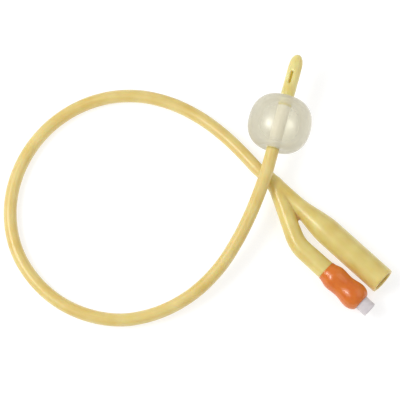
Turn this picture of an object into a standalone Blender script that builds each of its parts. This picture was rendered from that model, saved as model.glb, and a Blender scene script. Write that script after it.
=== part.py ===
"""Two-way urinary balloon catheter, 16 Fr, with its balloon filled, lying in one loop on a flat surface.

The drainage funnel points along +X and lies on the surface, z = 0. The origin is on that surface, under the
middle of the catheter's two ends. Lengths are in millimetres, and MM turns them into metres.
"""

import math

import bmesh
import bpy
import numpy as np
from mathutils import Matrix, Vector

MM = 0.001
CLEARANCE = 0.3  # gap between pieces that touch on the real catheter
CUT_PAST = 1.0  # how far a cutter reaches past the face that it opens

# Shaft: a 16 Fr tube, 5.33 mm across
SHAFT_DIAMETER = 5.33
SHAFT_RADIUS = SHAFT_DIAMETER / 2
DRAIN_LUMEN_RADIUS = 1.4
WATER_LUMEN_RADIUS = 0.4
SHAFT_LIFT = 0.005  # keeps the lying tube's lowest edge off the surface
SHAFT_POINT_SPACING = 11.0
SHAFT_STRAIGHT = 4.0  # run along the trunk's and the tip's axes at the free shaft's two ends

# Trunk and drainage funnel; places along them count from the trunk's start
FUNNEL_START = (-22.8, -13.8)
FUNNEL_LENGTH = 65.9
FUNNEL_RADIUS = 5.55
FUNNEL_WALL = 1.15
TRUNK_START_STEP = 0.33  # how far the trunk's start stands proud of the shaft
TRUNK_STEP = 0.63
TRUNK_CHAMFER = 1.2
TRUNK_LENGTH = 16.5
FLARE_LENGTH = 20.0
BORE_FLARE_LEAD = 6.0  # the bore widens this far ahead of the outside
TRUNK_START_RADIUS = SHAFT_RADIUS + TRUNK_START_STEP
TRUNK_RADIUS = SHAFT_RADIUS + TRUNK_STEP
WATER_LUMEN_SIDE = (TRUNK_START_RADIUS + DRAIN_LUMEN_RADIUS) / 2

# Valve: luer socket, seat, spring chamber, flange and barbed tail; it is built from its bores outwards
LUER_MOUTH_RADIUS = 2.15
LUER_DEPTH = 7.5
LUER_TAPER = 0.03
LUER_WALL = 1.0
SEAT_THICKNESS = 1.0
SEAT_HOLE_RADIUS = 1.1
CHAMBER_RADIUS = 1.75
CHAMBER_LENGTH = 10.2
TAIL_WALL = 0.55
BARB_HEIGHT = 0.3
BARB_LENGTH = 2.0
BARB_LAND = 0.2  # plain tail left behind each barb
BARB_COUNT = 2
FLANGE_THICKNESS = 2.0
RIM_CHAMFER = 0.2
VALVE_PROUD = 4.75  # how far the valve stands out of its sleeve
VALVE_RADIUS = LUER_MOUTH_RADIUS + LUER_WALL
LUER_FLOOR_RADIUS = LUER_MOUTH_RADIUS - LUER_DEPTH * LUER_TAPER
TAIL_RADIUS = CHAMBER_RADIUS + TAIL_WALL

# Arm's end, gripped by the sleeve
ARM_GRIP_LENGTH = 12.0
ARM_END_WALL = 0.7
ARM_SOCKET_SPACE = 0.7  # room for the water between the valve and the arm's narrow bore
ARM_SOCKET_RADIUS = TAIL_RADIUS + BARB_HEIGHT + CLEARANCE
ARM_END_RADIUS = ARM_SOCKET_RADIUS + ARM_END_WALL

# Orange sleeve; places count from its start, each with the outer radius there
SLEEVE_START = 45.6  # from the trunk's start
SLEEVE_LENGTH = 19.1
SLEEVE_LIP_RADIUS = 4.45
SLEEVE_LIP_ROUND = 0.5
SLEEVE_FIRST_BULGE = (4.7, 5.25)
SLEEVE_WAIST = (9.4, 4.95)
SLEEVE_SECOND_BULGE = (15.0, 5.78)
SLEEVE_NOSE_BASE = 2.6  # radius that the oval of the nose starts from
SLEEVE_NOSE_WALL = 0.2
SLEEVE_WALL = 0.65
FLANGE_RADIUS = SLEEVE_WAIST[1] - SLEEVE_WALL - CLEARANCE

# Inflation arm: straight out of the trunk at an angle, then round a bend to run beside the funnel
ARM_LEAVE = 6.1  # from the trunk's start
ARM_ANGLE = 27.7
ARM_BEND_RADIUS = 16.0
ARM_GAP = 1.17  # between the sleeve and the funnel
ARM_RADIUS = 4.3
ARM_ROOT_RADIUS = 3.2
ARM_BORE_RADIUS = 1.2
WATER_BEND = 1.0  # how far before the arm, and beside the trunk's water bore, the bore turns into the arm
WEB_REACH = 23.4
WEB_THICKNESS = 3.4
ARM_OFFSET = FUNNEL_RADIUS + ARM_GAP + SLEEVE_SECOND_BULGE[1]
ARM_RISE = SLEEVE_SECOND_BULGE[1] - FUNNEL_RADIUS

# Places along the valve, from the sleeve's start
VALVE_END = SLEEVE_LENGTH + VALVE_PROUD
LUER_FLOOR = VALVE_END - LUER_DEPTH
SEAT_FACE = LUER_FLOOR - SEAT_THICKNESS
TAIL_END = SEAT_FACE - CHAMBER_LENGTH
FLANGE_START = ARM_GRIP_LENGTH + CLEARANCE
FLANGE_END = FLANGE_START + FLANGE_THICKNESS

# Plunger, seal, spring and retainer inside the valve body
PLUNGER_GAP = 0.35  # round the head, for the water
PLUNGER_HEAD_LENGTH = 0.8
PLUNGER_STEM_GAP = 0.45  # round the stem in the seat, for the water
PLUNGER_PIN_RADIUS = 0.55
PLUNGER_PIN_LENGTH = 2.0
PLUNGER_TRAVEL = 1.5
PUSH_FACE_DEPTH = 3.2  # from the luer's mouth to the plunger's cross
CROSS_GAP = 0.6
CROSS_THICKNESS = 0.7
CROSS_PROUD = 0.1  # how far the cross stands past its stem
SEAL_THICKNESS = 0.6
SEAL_EDGE = 0.15
SEAL_BORE_GAP = 0.2
SPRING_WIRE_RADIUS = 0.14
SPRING_TURNS = 5
RETAINER_FLANGE_THICKNESS = 0.6
RETAINER_PLUG_LENGTH = 2.0
RETAINER_HOLE_RADIUS = 0.6
PLUNGER_HEAD_RADIUS = CHAMBER_RADIUS - PLUNGER_GAP
PLUNGER_STEM_RADIUS = SEAT_HOLE_RADIUS - PLUNGER_STEM_GAP
SEAL_FRONT = SEAT_FACE - CLEARANCE
HEAD_FRONT = SEAL_FRONT - SEAL_THICKNESS - CLEARANCE
HEAD_BACK = HEAD_FRONT - PLUNGER_HEAD_LENGTH
RETAINER_BASE = TAIL_END - CLEARANCE - RETAINER_FLANGE_THICKNESS
RETAINER_TOP = TAIL_END + RETAINER_PLUG_LENGTH
SPRING_RADIUS = (PLUNGER_PIN_RADIUS + CHAMBER_RADIUS) / 2

# Balloon: a membrane drawn in at both necks, where its cuffs turn inwards along the shaft
BALLOON_CENTRE = (-31.8, 4.9)
BALLOON_RADIUS = 13.0
BALLOON_LIFT = 0.05
BALLOON_HALF_LENGTH = 12.2
BALLOON_FULLNESS = 2.1
BALLOON_WALL = 0.35
DIMPLE_DEPTH = 1.9
DIMPLE_WIDTH = 2.6
CUFF_LENGTH = 4.0
CUFF_RADIUS = SHAFT_RADIUS + CLEARANCE

# Straight distal end of the shaft, through the balloon
TIP_HEADING = 117.9  # degrees from +X towards +Y
TIP_RISE = 3.5  # degrees above the surface
TIP_REACH = 18.3  # from the balloon's end to the end of the tip
TIP_TAIL = 4.3  # from the balloon's other end to the free shaft
TIP_ROUND = 5.5
TIP_BLIND = 3.7  # from the end of the tip to the end of the lumen
LUMEN_OFFSET = 0.35
NOTCH_RADIUS = 0.4
EYE_LENGTH = 5.4
EYE_WIDTH = 1.6
EYE_PLACE = 10.6  # from the end of the tip to the middle of the upper eye
EYE_STAGGER = 1.6
EYE_TURN = 15.0

# Route of the free shaft, from the funnel's start to the balloon: x, y and height of the tube's middle
SHAFT_ROUTE = (
    (-32.7, -13.2, 5.2),
    (-45.8, -12.4, 4.2),
    (-59.5, -13.4, 3.3),
    (-73.1, -17.2, 2.8),
    (-84.4, -23.6, 2.67),
    (-93.7, -33.1, 2.67),
    (-100.4, -46.3, 2.67),
    (-102.8, -60.9, 2.67),
    (-100.9, -75.2, 2.67),
    (-95.5, -87.8, 2.67),
    (-86.4, -98.8, 2.67),
    (-74.3, -106.6, 2.67),
    (-61.0, -110.0, 2.67),
    (-47.3, -109.5, 2.67),
    (-34.8, -105.2, 2.75),
    (-23.8, -97.5, 3.1),
    (-14.6, -84.5, 4.1),
    (-9.9, -70.0, 5.5),
    (-9.2, -56.0, 7.2),
    (-11.3, -43.0, 9.0),
    (-14.7, -31.4, 10.5),
    (-18.9, -20.6, 11.5),
)

# Facets, and points on curved profiles
ROUND_SIDES = 28
SMALL_SIDES = 16
BULB_SIDES = 32
EYE_SIDES = 20
BULB_STEPS = 12
FLARE_STEPS = 8
SLEEVE_STEPS = 14
NOSE_STEPS = 6
TIP_STEPS = 7
BLIND_STEPS = 3
ARM_SLANT_STEPS = 4
ARM_BEND_STEPS = 6
SPRING_TURN_STEPS = 12
ROUTE_SPAN_STEPS = 40
TUBE_BEVEL_STEPS = 4
THIN_TUBE_BEVEL_STEPS = 2
WIRE_BEVEL_STEPS = 1
SHARP_ANGLE = 40

LATEX = ("latex", "#E6CD78", 0.35, 0.0, 1.0)
MEMBRANE = ("balloon_latex", "#D8D2C2", 0.25, 0.0, 0.6)
ORANGE = ("orange_vinyl", "#D9722E", 0.25, 0.0, 1.0)
WHITE = ("white_polypropylene", "#E9E7EC", 0.35, 0.0, 1.0)
RUBBER = ("black_rubber", "#2B2A28", 0.6, 0.0, 1.0)
STEEL = ("spring_steel", "#B9BCC0", 0.3, 1.0, 1.0)


def clear_scene():
    """Removes what the scene holds, without closing the file."""
    for old in list(bpy.data.objects):
        bpy.data.objects.remove(old, do_unlink=True)


def collection(name):
    new = bpy.data.collections.new(name)
    bpy.context.scene.collection.children.link(new)
    return new


def material(name, colour, roughness, metallic, alpha):
    """A Principled material; the colour is a hex value as seen on the screen."""
    found = bpy.data.materials.get(name)
    if found:
        return found
    made = bpy.data.materials.new(name)
    made.use_nodes = True
    shader = made.node_tree.nodes["Principled BSDF"]
    screen = [int(colour[i:i + 2], 16) / 255 for i in (1, 3, 5)]
    linear = [((c + 0.055) / 1.055) ** 2.4 if c > 0.04 else c / 12.92 for c in screen]
    shader.inputs["Base Color"].default_value = (*linear, 1.0)
    shader.inputs["Roughness"].default_value = roughness
    shader.inputs["Metallic"].default_value = metallic
    shader.inputs["Alpha"].default_value = alpha
    made.diffuse_color = (*linear, alpha)
    return made


def place(obj, group, parent, look=None):
    """Puts an object in a collection, under its axis empty, and gives it its material."""
    group.objects.link(obj)
    obj.parent = parent
    if look:
        obj.data.materials.append(material(*look))
    if group is cutters:
        obj.hide_render = True
        obj.display_type = "WIRE"
    return obj


def axis_empty(name, place_mm, heading=0.0, rise=0.0):
    """An empty whose Z runs along an axis, its X up, and its Y to the right of the axis."""
    empty = bpy.data.objects.new(name, None)
    part.objects.link(empty)
    turn, lift = math.radians(heading), math.radians(rise)
    along = Vector((math.cos(turn) * math.cos(lift), math.sin(turn) * math.cos(lift), math.sin(lift)))
    right = along.cross(Vector((0.0, 0.0, 1.0))).normalized()
    up = right.cross(along)
    frame = Matrix((up, right, along)).transposed().to_4x4()
    frame.translation = Vector(place_mm) * MM
    empty.matrix_world = frame
    return empty


def turned(name, profile, group, parent, look=None, steps=ROUND_SIDES, closed=False):
    """A turned piece: its profile, as (radius, height) down the outer side, screwed round its Z axis."""
    verts = [(radius * MM, 0.0, height * MM) for radius, height in profile]
    edges = [(i, i + 1) for i in range(len(verts) - 1)]
    if closed:
        edges.append((len(verts) - 1, 0))
    mesh = bpy.data.meshes.new(name)
    mesh.from_pydata(verts, edges, [])
    obj = place(bpy.data.objects.new(name, mesh), group, parent, look)
    screw = obj.modifiers.new("turn", "SCREW")
    screw.axis = "Z"
    screw.steps = steps
    screw.render_steps = steps
    screw.use_merge_vertices = True
    screw.merge_threshold = 0.000001
    return obj


def tube(name, points, radii, group, parent, look=None, bevel_steps=TUBE_BEVEL_STEPS):
    """A tube along points, with a radius at each, as a curve with filled caps."""
    curve = bpy.data.curves.new(name, "CURVE")
    curve.dimensions = "3D"
    curve.bevel_depth = MM
    curve.bevel_resolution = bevel_steps
    curve.use_fill_caps = True
    spline = curve.splines.new("POLY")
    spline.points.add(len(points) - 1)
    for point, (x, y, z), radius in zip(spline.points, points, radii):
        point.co = (x * MM, y * MM, z * MM, 1.0)
        point.radius = radius
    return place(bpy.data.objects.new(name, curve), group, parent, look)


def as_mesh(obj, group):
    """The same object with a curve turned into a closed mesh, for a Boolean."""
    bpy.context.view_layer.update()
    mesh = bpy.data.meshes.new_from_object(obj.evaluated_get(bpy.context.evaluated_depsgraph_get()))
    shape = bmesh.new()
    shape.from_mesh(mesh)
    bmesh.ops.remove_doubles(shape, verts=shape.verts, dist=0.000001)
    bmesh.ops.recalc_face_normals(shape, faces=shape.faces)
    shape.to_mesh(mesh)
    shape.free()
    name, parent, matrix = obj.name, obj.parent, obj.matrix_world.copy()
    bpy.data.objects.remove(obj, do_unlink=True)
    made = place(bpy.data.objects.new(name, mesh), group, parent)
    made.matrix_world = matrix
    return made


def block(name, size, centre, group, parent):
    """A box, with its size in its mesh."""
    shape = bmesh.new()
    bmesh.ops.create_cube(shape, size=1.0)
    bmesh.ops.scale(shape, vec=Vector(size) * MM, verts=shape.verts)
    bmesh.ops.translate(shape, vec=Vector(centre) * MM, verts=shape.verts)
    mesh = bpy.data.meshes.new(name)
    shape.to_mesh(mesh)
    shape.free()
    return place(bpy.data.objects.new(name, mesh), group, parent)


def combine(obj, other, operation):
    """A Boolean of obj with another closed shape."""
    step = obj.modifiers.new(other.name, "BOOLEAN")
    step.operation = operation
    step.solver = "EXACT"
    step.object = other


def smooth_route(corners, spacing):
    """Points a spacing apart along a smooth curve through the corners.

    Each span is a cubic with its slopes taken from the neighbouring corners, and the finely sampled curve is
    then read off at equal lengths.
    """
    corners = np.array(corners, float)
    knots = np.concatenate(([0.0], np.cumsum(np.linalg.norm(np.diff(corners, axis=0), axis=1))))
    slopes = np.gradient(corners, knots, axis=0, edge_order=2)
    slopes[0] = (corners[1] - corners[0]) / (knots[1] - knots[0])
    slopes[-1] = (corners[-1] - corners[-2]) / (knots[-1] - knots[-2])
    fine = []
    for i in range(len(corners) - 1):
        t = np.linspace(0.0, 1.0, ROUTE_SPAN_STEPS, endpoint=i == len(corners) - 2)[:, None]
        span = knots[i + 1] - knots[i]
        fine.append(
            (2 * t**3 - 3 * t**2 + 1) * corners[i] + (t**3 - 2 * t**2 + t) * span * slopes[i]
            + (3 * t**2 - 2 * t**3) * corners[i + 1] + (t**3 - t**2) * span * slopes[i + 1]
        )
    fine = np.concatenate(fine)
    run = np.concatenate(([0.0], np.cumsum(np.linalg.norm(np.diff(fine, axis=0), axis=1))))
    stations = np.linspace(0.0, run[-1], round(run[-1] / spacing) + 1)
    return np.stack([np.interp(stations, run, fine[:, k]) for k in range(3)], axis=1)


def blend_radius(stations, at):
    """Radius at a place, eased with a half cosine between (place, radius) stations."""
    for (start, first), (end, second) in zip(stations, stations[1:]):
        if at <= end:
            share = (at - start) / (end - start)
            return first + (second - first) * (1 - math.cos(math.pi * share)) / 2
    return stations[-1][1]


def eased_profile(stations, low, high, count):
    """Profile points, from high down to low, with their radii eased between the stations."""
    places = {low, high} | {place for place, _ in stations if low < place < high}
    places |= {low + (high - low) * i / count for i in range(1, count)}
    return [(blend_radius(stations, at), at) for at in sorted(places, reverse=True)]


def arm_route(end):
    """Middle line of the inflation arm up to a place: a slanted run, a bend, and a run beside the funnel.

    Points are (rise, side, along) in the trunk's frame. The rise grows with the side.
    """
    angle = math.radians(ARM_ANGLE)
    corner = ARM_LEAVE + ARM_OFFSET / math.tan(angle)
    tangent = ARM_BEND_RADIUS * math.tan(angle / 2)
    slant_end = corner - tangent * math.cos(angle)
    sides = [(0.0, ARM_LEAVE)]
    for i in range(1, ARM_SLANT_STEPS):
        along = ARM_LEAVE + (slant_end - ARM_LEAVE) * i / ARM_SLANT_STEPS
        sides.append(((along - ARM_LEAVE) * math.tan(angle), along))
    for i in range(ARM_BEND_STEPS + 1):
        turn = angle * (1 - i / ARM_BEND_STEPS)
        side = ARM_OFFSET - ARM_BEND_RADIUS * (1 - math.cos(turn))
        sides.append((side, corner + tangent - ARM_BEND_RADIUS * math.sin(turn)))
    sides.append((ARM_OFFSET, end))
    return [(ARM_RISE * side / ARM_OFFSET, side, along) for side, along in sides]


def make_arm(axis):
    """Outside of the inflation arm, widening from its root to the sleeve."""
    grip = SLEEVE_START - CLEARANCE
    route = arm_route(grip)
    share = [(along - ARM_LEAVE) / (grip - ARM_LEAVE) for _, _, along in route]
    radii = [ARM_ROOT_RADIUS + (ARM_RADIUS - ARM_ROOT_RADIUS) * s for s in share]
    return as_mesh(tube("arm_outside", route, radii, cutters, axis), cutters)


def make_arm_end(axis):
    """The arm's straight end, pinched to the sleeve's bore."""
    top = SLEEVE_START + ARM_GRIP_LENGTH
    bottom = SLEEVE_START - 2 * ARM_RADIUS
    profile = [(0.0, top), (ARM_END_RADIUS, top), (ARM_END_RADIUS, bottom), (0.0, bottom)]
    end = turned("arm_end", profile, cutters, axis)
    end.location = Vector((ARM_RISE, ARM_OFFSET, 0.0)) * MM
    return end


def make_web(axis):
    """Wedge of rubber that fills the fork between the funnel and the arm."""
    half = WEB_THICKNESS / 2
    arm_side = (WEB_REACH - ARM_LEAVE) * math.tan(math.radians(ARM_ANGLE))
    outline = ((0.0, ARM_LEAVE), (arm_side, WEB_REACH), (0.0, WEB_REACH))
    web = bmesh.new()
    corners = [web.verts.new((x * MM, y * MM, z * MM)) for x in (-half, half) for y, z in outline]
    bmesh.ops.convex_hull(web, input=corners)
    bmesh.ops.recalc_face_normals(web, faces=web.faces)
    mesh = bpy.data.meshes.new("web")
    web.to_mesh(mesh)
    web.free()
    return place(bpy.data.objects.new("web", mesh), cutters, axis)


def make_drain_bore(axis):
    """Drainage bore, from the shaft's lumen out to the funnel's mouth."""
    start = TRUNK_LENGTH - BORE_FLARE_LEAD
    end = TRUNK_LENGTH + FLARE_LENGTH
    wide = FUNNEL_RADIUS - FUNNEL_WALL
    top = FUNNEL_LENGTH + CUT_PAST
    profile = [(0.0, top), (wide, top)]
    profile += eased_profile(((start, DRAIN_LUMEN_RADIUS), (end, wide)), start, end, FLARE_STEPS)
    profile += [(DRAIN_LUMEN_RADIUS, -CUT_PAST), (0.0, -CUT_PAST)]
    return turned("drain_bore", profile, cutters, axis)


def make_water_bore(axis):
    """Inflation bore, from the shaft's small lumen along the arm to its socket."""
    socket = SLEEVE_START + RETAINER_BASE - ARM_SOCKET_SPACE
    route = [(0.0, WATER_LUMEN_SIDE, -CUT_PAST), (0.0, WATER_LUMEN_SIDE, ARM_LEAVE - WATER_BEND)]
    route += [p for p in arm_route(socket + CUT_PAST) if p[1] > WATER_LUMEN_SIDE + WATER_BEND]
    widening = ((ARM_LEAVE, WATER_LUMEN_RADIUS), (WEB_REACH, ARM_BORE_RADIUS))
    radii = [blend_radius(widening, max(along, ARM_LEAVE)) for _, _, along in route]
    bore = tube("water_bore", route, radii, cutters, axis, bevel_steps=THIN_TUBE_BEVEL_STEPS)
    return as_mesh(bore, cutters)


def make_arm_socket(axis):
    """Socket in the arm's end for the valve's tail and its retainer."""
    top = SLEEVE_START + ARM_GRIP_LENGTH + CUT_PAST
    bottom = SLEEVE_START + RETAINER_BASE - ARM_SOCKET_SPACE
    profile = [(0.0, top), (ARM_SOCKET_RADIUS, top), (ARM_SOCKET_RADIUS, bottom), (0.0, bottom)]
    socket = turned("arm_socket", profile, cutters, axis)
    socket.location = Vector((ARM_RISE, ARM_OFFSET, 0.0)) * MM
    return socket


def make_funnel(axis):
    """Trunk, drainage funnel and inflation arm, moulded in one and hollow throughout."""
    start, end = TRUNK_LENGTH, TRUNK_LENGTH + FLARE_LENGTH
    profile = [(0.0, FUNNEL_LENGTH), (FUNNEL_RADIUS, FUNNEL_LENGTH)]
    profile += eased_profile(((start, TRUNK_RADIUS), (end, FUNNEL_RADIUS)), start, end, FLARE_STEPS)
    profile += [(TRUNK_RADIUS, TRUNK_CHAMFER), (TRUNK_START_RADIUS, 0.0), (0.0, 0.0)]
    body = turned("y_funnel", profile, part, axis, LATEX)
    for other in (make_arm(axis), make_arm_end(axis), make_web(axis)):
        combine(body, other, "UNION")
    for bore in (make_arm_socket(axis), make_water_bore(axis), make_drain_bore(axis)):
        combine(body, bore, "DIFFERENCE")
    return body


def make_sleeve(axis):
    """Orange sleeve: two bulges outside, stepped inside round the arm, the flange and the valve's neck."""
    shape = ((0.0, SLEEVE_LIP_RADIUS), SLEEVE_FIRST_BULGE, SLEEVE_WAIST, SLEEVE_SECOND_BULGE)
    neck = VALVE_RADIUS + CLEARANCE
    nose_start, nose_radius = SLEEVE_SECOND_BULGE
    nose_height = nose_radius - SLEEVE_NOSE_BASE
    first_turn = math.asin((neck + SLEEVE_NOSE_WALL - SLEEVE_NOSE_BASE) / nose_height)
    nose_reach = (SLEEVE_LENGTH - nose_start) / math.cos(first_turn)
    outside = []
    for i in range(NOSE_STEPS + 1):
        turn = first_turn + (math.pi / 2 - first_turn) * i / NOSE_STEPS
        radius = SLEEVE_NOSE_BASE + nose_height * math.sin(turn)
        outside.append((radius, nose_start + nose_reach * math.cos(turn)))
    outside += eased_profile(shape, SLEEVE_LIP_ROUND, nose_start, SLEEVE_STEPS)[1:]
    outside += [(SLEEVE_LIP_RADIUS - SLEEVE_LIP_ROUND / 2, 0.0)]
    grip = ARM_END_RADIUS + CLEARANCE
    room = FLANGE_RADIUS + CLEARANCE
    inside = [(grip, 0.0), (grip, ARM_GRIP_LENGTH), (room, ARM_GRIP_LENGTH), (room, FLANGE_END + CLEARANCE),
              (neck, FLANGE_END + CLEARANCE), (neck, SLEEVE_LENGTH)]
    return turned("valve_sleeve", outside + inside, part, axis, ORANGE, closed=True)


def make_valve_body(axis):
    """White housing: luer socket, seat and spring chamber inside, flange and barbed tail outside."""
    outside = [(LUER_MOUTH_RADIUS, VALVE_END), (VALVE_RADIUS - RIM_CHAMFER, VALVE_END),
               (VALVE_RADIUS, VALVE_END - RIM_CHAMFER), (VALVE_RADIUS, FLANGE_END),
               (FLANGE_RADIUS, FLANGE_END), (FLANGE_RADIUS, FLANGE_START), (TAIL_RADIUS, FLANGE_START)]
    for i in range(BARB_COUNT, 0, -1):
        foot = TAIL_END + i * BARB_LENGTH
        outside += [(TAIL_RADIUS, foot), (TAIL_RADIUS + BARB_HEIGHT, foot)]
        outside.append((TAIL_RADIUS, foot - BARB_LENGTH + BARB_LAND))
    outside.append((TAIL_RADIUS, TAIL_END))
    inside = [(CHAMBER_RADIUS, TAIL_END), (CHAMBER_RADIUS, SEAT_FACE), (SEAT_HOLE_RADIUS, SEAT_FACE),
              (SEAT_HOLE_RADIUS, LUER_FLOOR), (LUER_FLOOR_RADIUS, LUER_FLOOR)]
    return turned("valve_body", outside + inside, part, axis, WHITE, closed=True)


def make_plunger(axis):
    """Stem through the seat with a cross that the syringe pushes, a head behind the seal and a spring pin."""
    push_face = VALVE_END - PUSH_FACE_DEPTH
    cross_foot = LUER_FLOOR + PLUNGER_TRAVEL + CLEARANCE
    stem_end = push_face - CROSS_PROUD
    pin_end = HEAD_BACK - PLUNGER_PIN_LENGTH
    profile = [(0.0, stem_end), (PLUNGER_STEM_RADIUS, stem_end), (PLUNGER_STEM_RADIUS, HEAD_FRONT),
               (PLUNGER_HEAD_RADIUS, HEAD_FRONT), (PLUNGER_HEAD_RADIUS, HEAD_BACK),
               (PLUNGER_PIN_RADIUS, HEAD_BACK), (PLUNGER_PIN_RADIUS, pin_end), (0.0, pin_end)]
    plunger = turned("valve_plunger", profile, part, axis, WHITE, steps=SMALL_SIDES)
    middle = (push_face + cross_foot) / 2
    height = push_face - cross_foot
    span = 2 * (LUER_FLOOR_RADIUS - CROSS_GAP)
    blades = {"cross_a": (span, CROSS_THICKNESS, height), "cross_b": (CROSS_THICKNESS, span, height)}
    for name, size in blades.items():
        combine(plunger, block(name, size, (0.0, 0.0, middle), cutters, axis), "UNION")
    return plunger


def make_seal(axis):
    """Flat rubber ring on the stem, between the head and the seat."""
    top, bottom = SEAL_FRONT, SEAL_FRONT - SEAL_THICKNESS
    inner, outer = PLUNGER_STEM_RADIUS + SEAL_BORE_GAP, PLUNGER_HEAD_RADIUS
    ring = [(inner, top), (outer - SEAL_EDGE, top), (outer, top - SEAL_EDGE), (outer, bottom + SEAL_EDGE),
            (outer - SEAL_EDGE, bottom), (inner, bottom)]
    return turned("valve_seal", ring, part, axis, RUBBER, steps=SMALL_SIDES, closed=True)


def make_spring(axis):
    """Compression spring between the retainer and the plunger's head, its pitch from the room."""
    bottom = RETAINER_TOP + CLEARANCE + SPRING_WIRE_RADIUS
    top = HEAD_BACK - CLEARANCE - SPRING_WIRE_RADIUS
    share = np.linspace(0.0, 1.0, SPRING_TURNS * SPRING_TURN_STEPS + 1)
    angle = 2 * math.pi * SPRING_TURNS * share
    height = bottom + (top - bottom) * share
    coil = np.stack([SPRING_RADIUS * np.cos(angle), SPRING_RADIUS * np.sin(angle), height], axis=1)
    radii = [SPRING_WIRE_RADIUS] * len(coil)
    return tube("valve_spring", coil.tolist(), radii, part, axis, STEEL, bevel_steps=WIRE_BEVEL_STEPS)


def make_retainer(axis):
    """Pierced plug that closes the chamber and carries the spring, with a flange under the tail's end."""
    plug = CHAMBER_RADIUS - CLEARANCE
    foot = TAIL_END - CLEARANCE
    profile = [(RETAINER_HOLE_RADIUS, RETAINER_TOP), (plug, RETAINER_TOP), (plug, foot), (TAIL_RADIUS, foot),
               (TAIL_RADIUS, RETAINER_BASE), (RETAINER_HOLE_RADIUS, RETAINER_BASE)]
    return turned("valve_retainer", profile, part, axis, WHITE, steps=SMALL_SIDES, closed=True)


def bulb_height(radius):
    """Half length of the balloon at a radius: a full ellipse, drawn in round the neck."""
    full = BALLOON_HALF_LENGTH * (1 - (radius / BALLOON_RADIUS) ** BALLOON_FULLNESS) ** (1 / BALLOON_FULLNESS)
    near = math.exp(-((radius - CUFF_RADIUS) / DIMPLE_WIDTH) ** 2)
    return full - DIMPLE_DEPTH * near


def make_balloon(axis):
    """Thin membrane: an open skin turned from one inward cuff over the bulb to the other, then walled."""
    neck = bulb_height(CUFF_RADIUS)
    upper = [(CUFF_RADIUS, neck - CUFF_LENGTH), (CUFF_RADIUS, neck)]
    for i in range(1, BULB_STEPS):
        radius = CUFF_RADIUS + (BALLOON_RADIUS - CUFF_RADIUS) * math.sin(math.pi / 2 * i / BULB_STEPS)
        upper.append((radius, bulb_height(radius)))
    lower = [(radius, -height) for radius, height in reversed(upper)]
    skin = upper + [(BALLOON_RADIUS, 0.0)] + lower
    balloon = turned("balloon", skin, part, axis, MEMBRANE, steps=BULB_SIDES)
    wall = balloon.modifiers.new("wall", "SOLIDIFY")
    wall.thickness = BALLOON_WALL * MM
    wall.offset = -1.0
    return balloon


def tip_lumens(axis, tip_end, back):
    """Cutters for the drainage lumen, blind at the tip, and for the small water lumen up to the balloon."""
    blind = tip_end - TIP_BLIND
    round_foot = blind - DRAIN_LUMEN_RADIUS
    drain = []
    for i in range(BLIND_STEPS + 1):
        turn = math.pi / 2 * i / BLIND_STEPS
        drain.append((DRAIN_LUMEN_RADIUS * math.sin(turn), round_foot + DRAIN_LUMEN_RADIUS * math.cos(turn)))
    drain += [(DRAIN_LUMEN_RADIUS, back), (0.0, back)]
    drain_cutter = turned("drain_lumen", drain, cutters, axis, steps=SMALL_SIDES)
    drain_cutter.location = Vector((0.0, -LUMEN_OFFSET, 0.0)) * MM
    side = (DRAIN_LUMEN_RADIUS - LUMEN_OFFSET + SHAFT_RADIUS) / 2
    water = [(0.0, NOTCH_RADIUS), (WATER_LUMEN_RADIUS, NOTCH_RADIUS), (WATER_LUMEN_RADIUS, back), (0.0, back)]
    water_cutter = turned("water_lumen", water, cutters, axis, steps=SMALL_SIDES)
    water_cutter.location = Vector((0.0, side, 0.0)) * MM
    notch = [(0.0, SHAFT_DIAMETER), (NOTCH_RADIUS, SHAFT_DIAMETER), (NOTCH_RADIUS, side), (0.0, side)]
    notch_cutter = turned("notch", notch, cutters, axis, steps=SMALL_SIDES)
    notch_cutter.rotation_euler = (math.radians(-90), 0.0, 0.0)
    return drain_cutter, water_cutter, notch_cutter


def eye_cutter(name, turn, along, axis):
    """An oval punch from the lumen out through the wall; turn is towards the left of straight up."""
    shape = bmesh.new()
    bmesh.ops.create_cone(shape, cap_ends=True, segments=EYE_SIDES, radius1=MM / 2, radius2=MM / 2, depth=MM)
    bmesh.ops.scale(shape, vec=(EYE_WIDTH, EYE_LENGTH, SHAFT_DIAMETER), verts=shape.verts)
    bmesh.ops.translate(shape, vec=(0.0, 0.0, SHAFT_RADIUS * MM), verts=shape.verts)
    stand = Matrix(((0.0, 0.0, 1.0), (1.0, 0.0, 0.0), (0.0, 1.0, 0.0))).to_4x4()
    shape.transform(Matrix.Rotation(math.radians(-turn), 4, "Z") @ stand)
    bmesh.ops.translate(shape, vec=(0.0, 0.0, along * MM), verts=shape.verts)
    mesh = bpy.data.meshes.new(name)
    shape.to_mesh(mesh)
    shape.free()
    return place(bpy.data.objects.new(name, mesh), cutters, axis)


def make_tip(axis):
    """Distal end of the shaft, through the balloon: rounded end, lumens, notch and two staggered eyes."""
    tip_end = BALLOON_HALF_LENGTH + TIP_REACH
    tail = -BALLOON_HALF_LENGTH - TIP_TAIL
    profile = []
    for i in range(TIP_STEPS + 1):
        turn = math.pi / 2 * i / TIP_STEPS
        profile.append((SHAFT_RADIUS * math.sin(turn), tip_end - TIP_ROUND * (1 - math.cos(turn))))
    profile += [(SHAFT_RADIUS, tail), (0.0, tail)]
    tip = turned("drainage_tip", profile, part, axis, LATEX)
    upper = tip_end - EYE_PLACE
    eyes = (eye_cutter("eye_upper", EYE_TURN, upper, axis),
            eye_cutter("eye_lower", EYE_TURN + 180.0, upper + EYE_STAGGER, axis))
    for cutter in (*tip_lumens(axis, tip_end, tail - CUT_PAST), *eyes):
        combine(tip, cutter, "DIFFERENCE")
    return tip


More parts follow.
